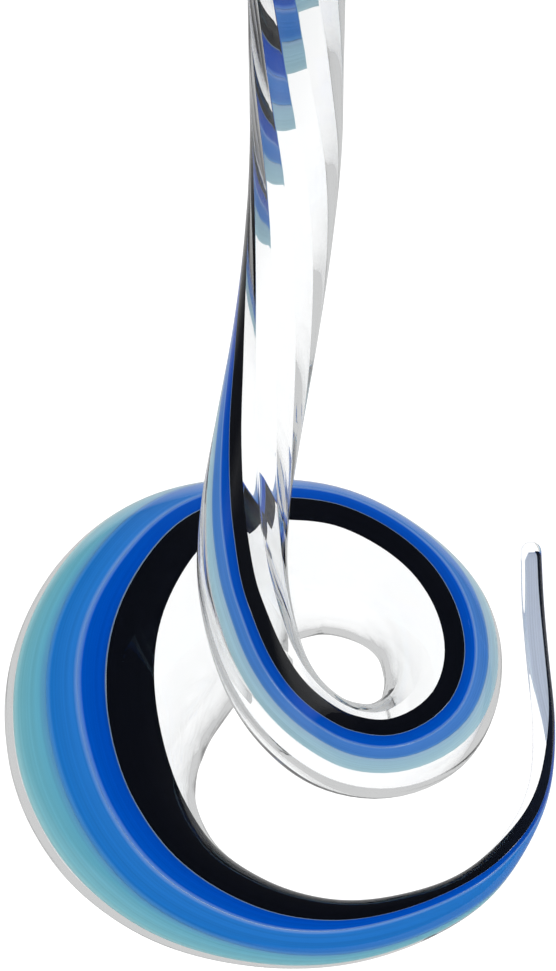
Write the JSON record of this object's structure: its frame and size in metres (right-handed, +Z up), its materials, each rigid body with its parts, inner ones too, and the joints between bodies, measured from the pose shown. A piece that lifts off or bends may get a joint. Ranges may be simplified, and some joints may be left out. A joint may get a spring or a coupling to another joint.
{
  "type": "glass wine decanter",
  "caption": "Tall clear-glass decanter whose neck runs into a coiled body with a colour band cased in the wall; it holds and pours wine.",
  "frame": {"origin": "middle of the footprint at table level", "axes": "+Z up along the neck, -Y towards the front of the coil, +X towards the tail"},
  "size_m": [0.2084, 0.2204, 0.4488],
  "materials": {
    "clear_casing": "fire-polished",
    "clear_lining": "fire-polished",
    "black_glass": "polished",
    "cobalt_glass": "polished",
    "azure_glass": "polished",
    "turquoise_glass": "polished"
  },
  "bodies": {
    "root": {"outer_casing": "clear_casing", "inner_gather": "clear_lining", "black_cane": "black_glass", "cobalt_cane": "cobalt_glass", "azure_cane": "azure_glass", "turquoise_cane": "turquoise_glass"}
  },
  "joints": []
}
